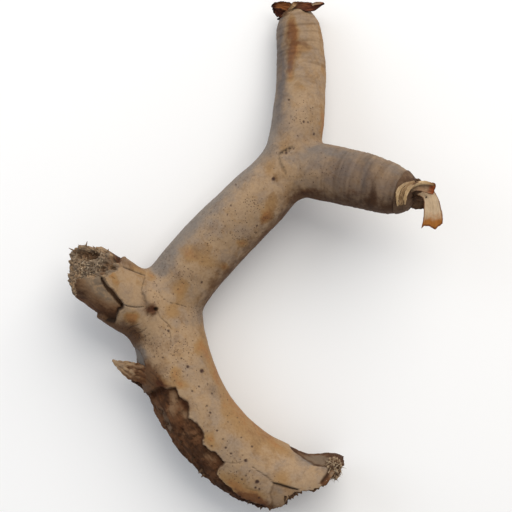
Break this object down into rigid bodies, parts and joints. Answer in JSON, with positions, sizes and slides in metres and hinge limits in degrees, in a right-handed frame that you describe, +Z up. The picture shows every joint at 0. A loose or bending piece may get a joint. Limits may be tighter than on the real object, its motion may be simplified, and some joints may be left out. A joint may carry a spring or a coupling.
{
  "type": "fallen tree branch",
  "caption": "Forked dry branch with smooth bark, a broken stub, a peeled strip and ring-scarred arm tips, lying on a surface.",
  "frame": {"origin": "on the surface that the branch lies on, under the middle of its footprint", "axes": "+Z up from the surface, +Y from the broken lower end towards the top arm, +X towards the side arm"},
  "size_m": [0.3332, 0.4624, 0.1053],
  "materials": {
    "bark": "smooth dry tan bark with ochre, lilac and grey patches, ring scars near the tips, dark brown wood where it has peeled",
    "loose_bark": "thin loose bark, dull",
    "pale_leaf": "papery dry leaf base, cream with brown edges",
    "brown_leaf": "papery dry leaf base, red-brown"
  },
  "bodies": {
    "root": {"lower_stem": "bark", "broken_stub": "bark", "middle_stem": "bark", "top_arm": "bark", "side_arm": "bark", "bark_flake": "loose_bark", "side_collar": "pale_leaf", "side_leaf_curl": "pale_leaf", "side_leaf_strap": "pale_leaf", "tip_leaf_left": "brown_leaf", "tip_leaf_middle": "pale_leaf", "tip_leaf_right": "brown_leaf"}
  },
  "joints": []
}
